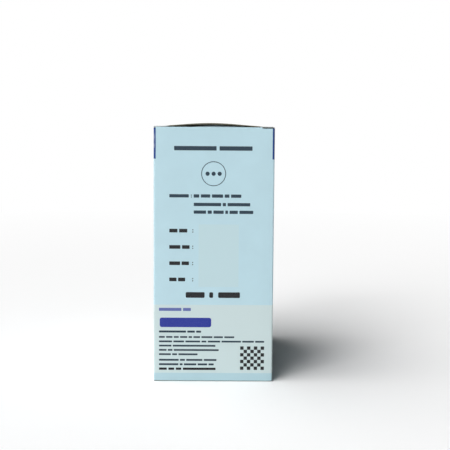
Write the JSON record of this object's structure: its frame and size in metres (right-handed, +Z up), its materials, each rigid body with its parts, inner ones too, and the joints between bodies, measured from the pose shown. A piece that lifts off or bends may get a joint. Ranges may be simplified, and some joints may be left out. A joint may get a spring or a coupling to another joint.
{
  "type": "boxed respiratory exerciser",
  "caption": "Upright folding carton with a bowed tuck lid and a locked bottom, holding a breathing exerciser with ball chambers, a suction base and a loose mouthpiece.",
  "frame": {"origin": "middle of the carton's underside, on the surface that it stands on", "axes": "+Z up, -Y out of the narrow face that the picture shows, -X towards the wall that carries the lid"},
  "size_m": [0.082, 0.145, 0.1785],
  "materials": {
    "printed_board": "satin",
    "grey_board": "matte",
    "blue_plastic": "gloss",
    "white_plastic": "satin",
    "clear_plastic": "gloss",
    "mouthpiece_plastic": "gloss",
    "ball_blue": "gloss",
    "ball_green": "gloss",
    "ball_orange": "gloss"
  },
  "bodies": {
    "carton": {"front_panel": "printed_board", "back_panel": "printed_board", "hinge_panel": "printed_board", "tuck_panel": "printed_board", "glue_flap": "grey_board", "slot_flap": "grey_board", "lock_flap": "printed_board", "front_bottom_flap": "grey_board", "back_bottom_flap": "grey_board"},
    "lid": {"lid_panel": "printed_board"},
    "tuck": {"tuck_flap": "printed_board"},
    "front_dust": {"front_dust_flap": "printed_board"},
    "back_dust": {"back_dust_flap": "printed_board"},
    "exerciser": {"base_shell": "blue_plastic", "base_cover": "white_plastic", "outlet_elbow": "white_plastic", "down_tube": "clear_plastic", "seat_plate": "white_plastic", "chamber_front_shell": "clear_plastic", "chamber_back_shell": "clear_plastic", "stop_plate": "white_plastic", "top_cap": "blue_plastic"},
    "loose_mouthpiece": {"mouthpiece": "mouthpiece_plastic"},
    "low_ball": {"ball_low_flow": "ball_blue"},
    "mid_ball": {"ball_mid_flow": "ball_green"},
    "high_ball": {"ball_high_flow": "ball_orange"}
  },
  "joints": [
    {"name": "unit_lift", "type": "slide", "parent": "carton", "child": "exerciser", "axis": [0, 0, 1], "range_m": [0, 0.176]},
    {"name": "lid_fold", "type": "hinge", "parent": "carton", "child": "lid", "pos_m": [-0.041, 0, 0.1759], "axis": [0, -1, 0], "range_deg": [0, 176.5]},
    {"name": "tuck_fold", "type": "hinge", "parent": "lid", "child": "tuck", "pos_m": [0.0402, 0, 0.1759], "axis": [0, -1, 0], "range_deg": [0, 30.5]},
    {"name": "front_dust_fold", "type": "hinge", "parent": "carton", "child": "front_dust", "pos_m": [0, -0.0725, 0.1751], "axis": [1, 0, 0], "range_deg": [0, 176.5]},
    {"name": "back_dust_fold", "type": "hinge", "parent": "carton", "child": "back_dust", "pos_m": [0, 0.0725, 0.1751], "axis": [-1, 0, 0], "range_deg": [0, 176.5]},
    {"name": "mouthpiece_lift", "type": "slide", "parent": "exerciser", "child": "loose_mouthpiece", "axis": [0, 0, 1], "range_m": [0, 0.0202]},
    {"name": "low_ball_float", "type": "slide", "parent": "exerciser", "child": "low_ball", "axis": [0, 0, 1], "range_m": [0, 0.073]},
    {"name": "mid_ball_float", "type": "slide", "parent": "exerciser", "child": "mid_ball", "axis": [0, 0, 1], "range_m": [0, 0.073]},
    {"name": "high_ball_float", "type": "slide", "parent": "exerciser", "child": "high_ball", "axis": [0, 0, 1], "range_m": [0, 0.073]}
  ],
  "couplings": [
    {"joint": "lid_fold", "follows": "unit_lift", "rad_per_m": 17.453},
    {"joint": "tuck_fold", "follows": "unit_lift", "rad_per_m": 2.975},
    {"joint": "front_dust_fold", "follows": "unit_lift", "rad_per_m": 17.453},
    {"joint": "back_dust_fold", "follows": "unit_lift", "rad_per_m": 17.453},
    {"joint": "mouthpiece_lift", "follows": "unit_lift", "ratio": 0.11364}
  ]
}
